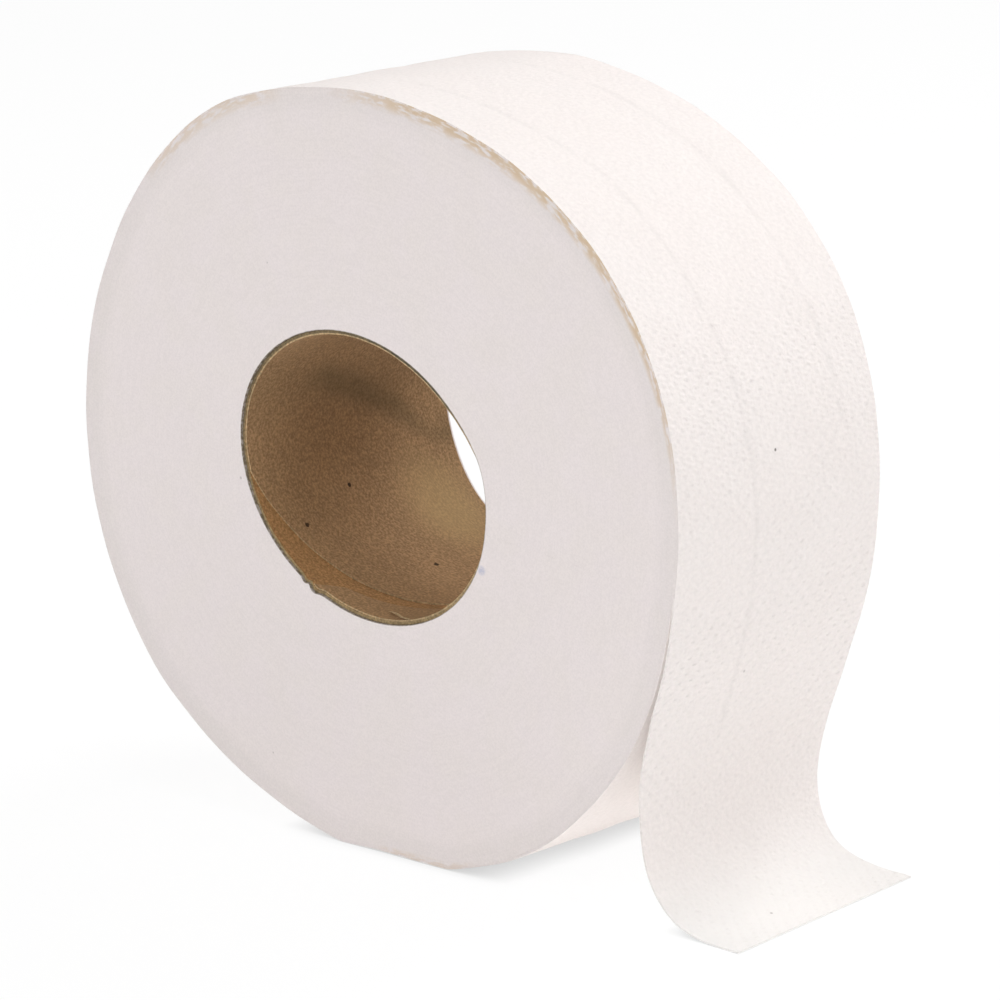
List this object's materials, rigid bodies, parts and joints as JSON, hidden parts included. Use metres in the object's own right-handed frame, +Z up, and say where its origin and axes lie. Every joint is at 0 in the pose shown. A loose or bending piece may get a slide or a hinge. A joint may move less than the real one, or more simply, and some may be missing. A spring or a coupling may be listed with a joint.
{
  "type": "toilet paper roll",
  "caption": "Jumbo toilet tissue roll standing on its rim: embossed two-ply web on an oval spiral-wound board core, with the loose outer end hanging down and curling out along the floor.",
  "frame": {"origin": "on the floor, straight under the roll's axis and at mid-width, on the small flat spot that the roll stands on", "axes": "+Z up; +X across the roll, towards the loose end that lies on the floor; +Y along the roll's axis, from the end face in front to the one behind"},
  "size_m": [0.2545, 0.0888, 0.222],
  "materials": {
    "tissue": "matte, soft, embossed",
    "core_board": "matte, unbleached"
  },
  "bodies": {
    "root": {"tissue_web": "tissue", "cardboard_core": "core_board"}
  },
  "joints": []
}
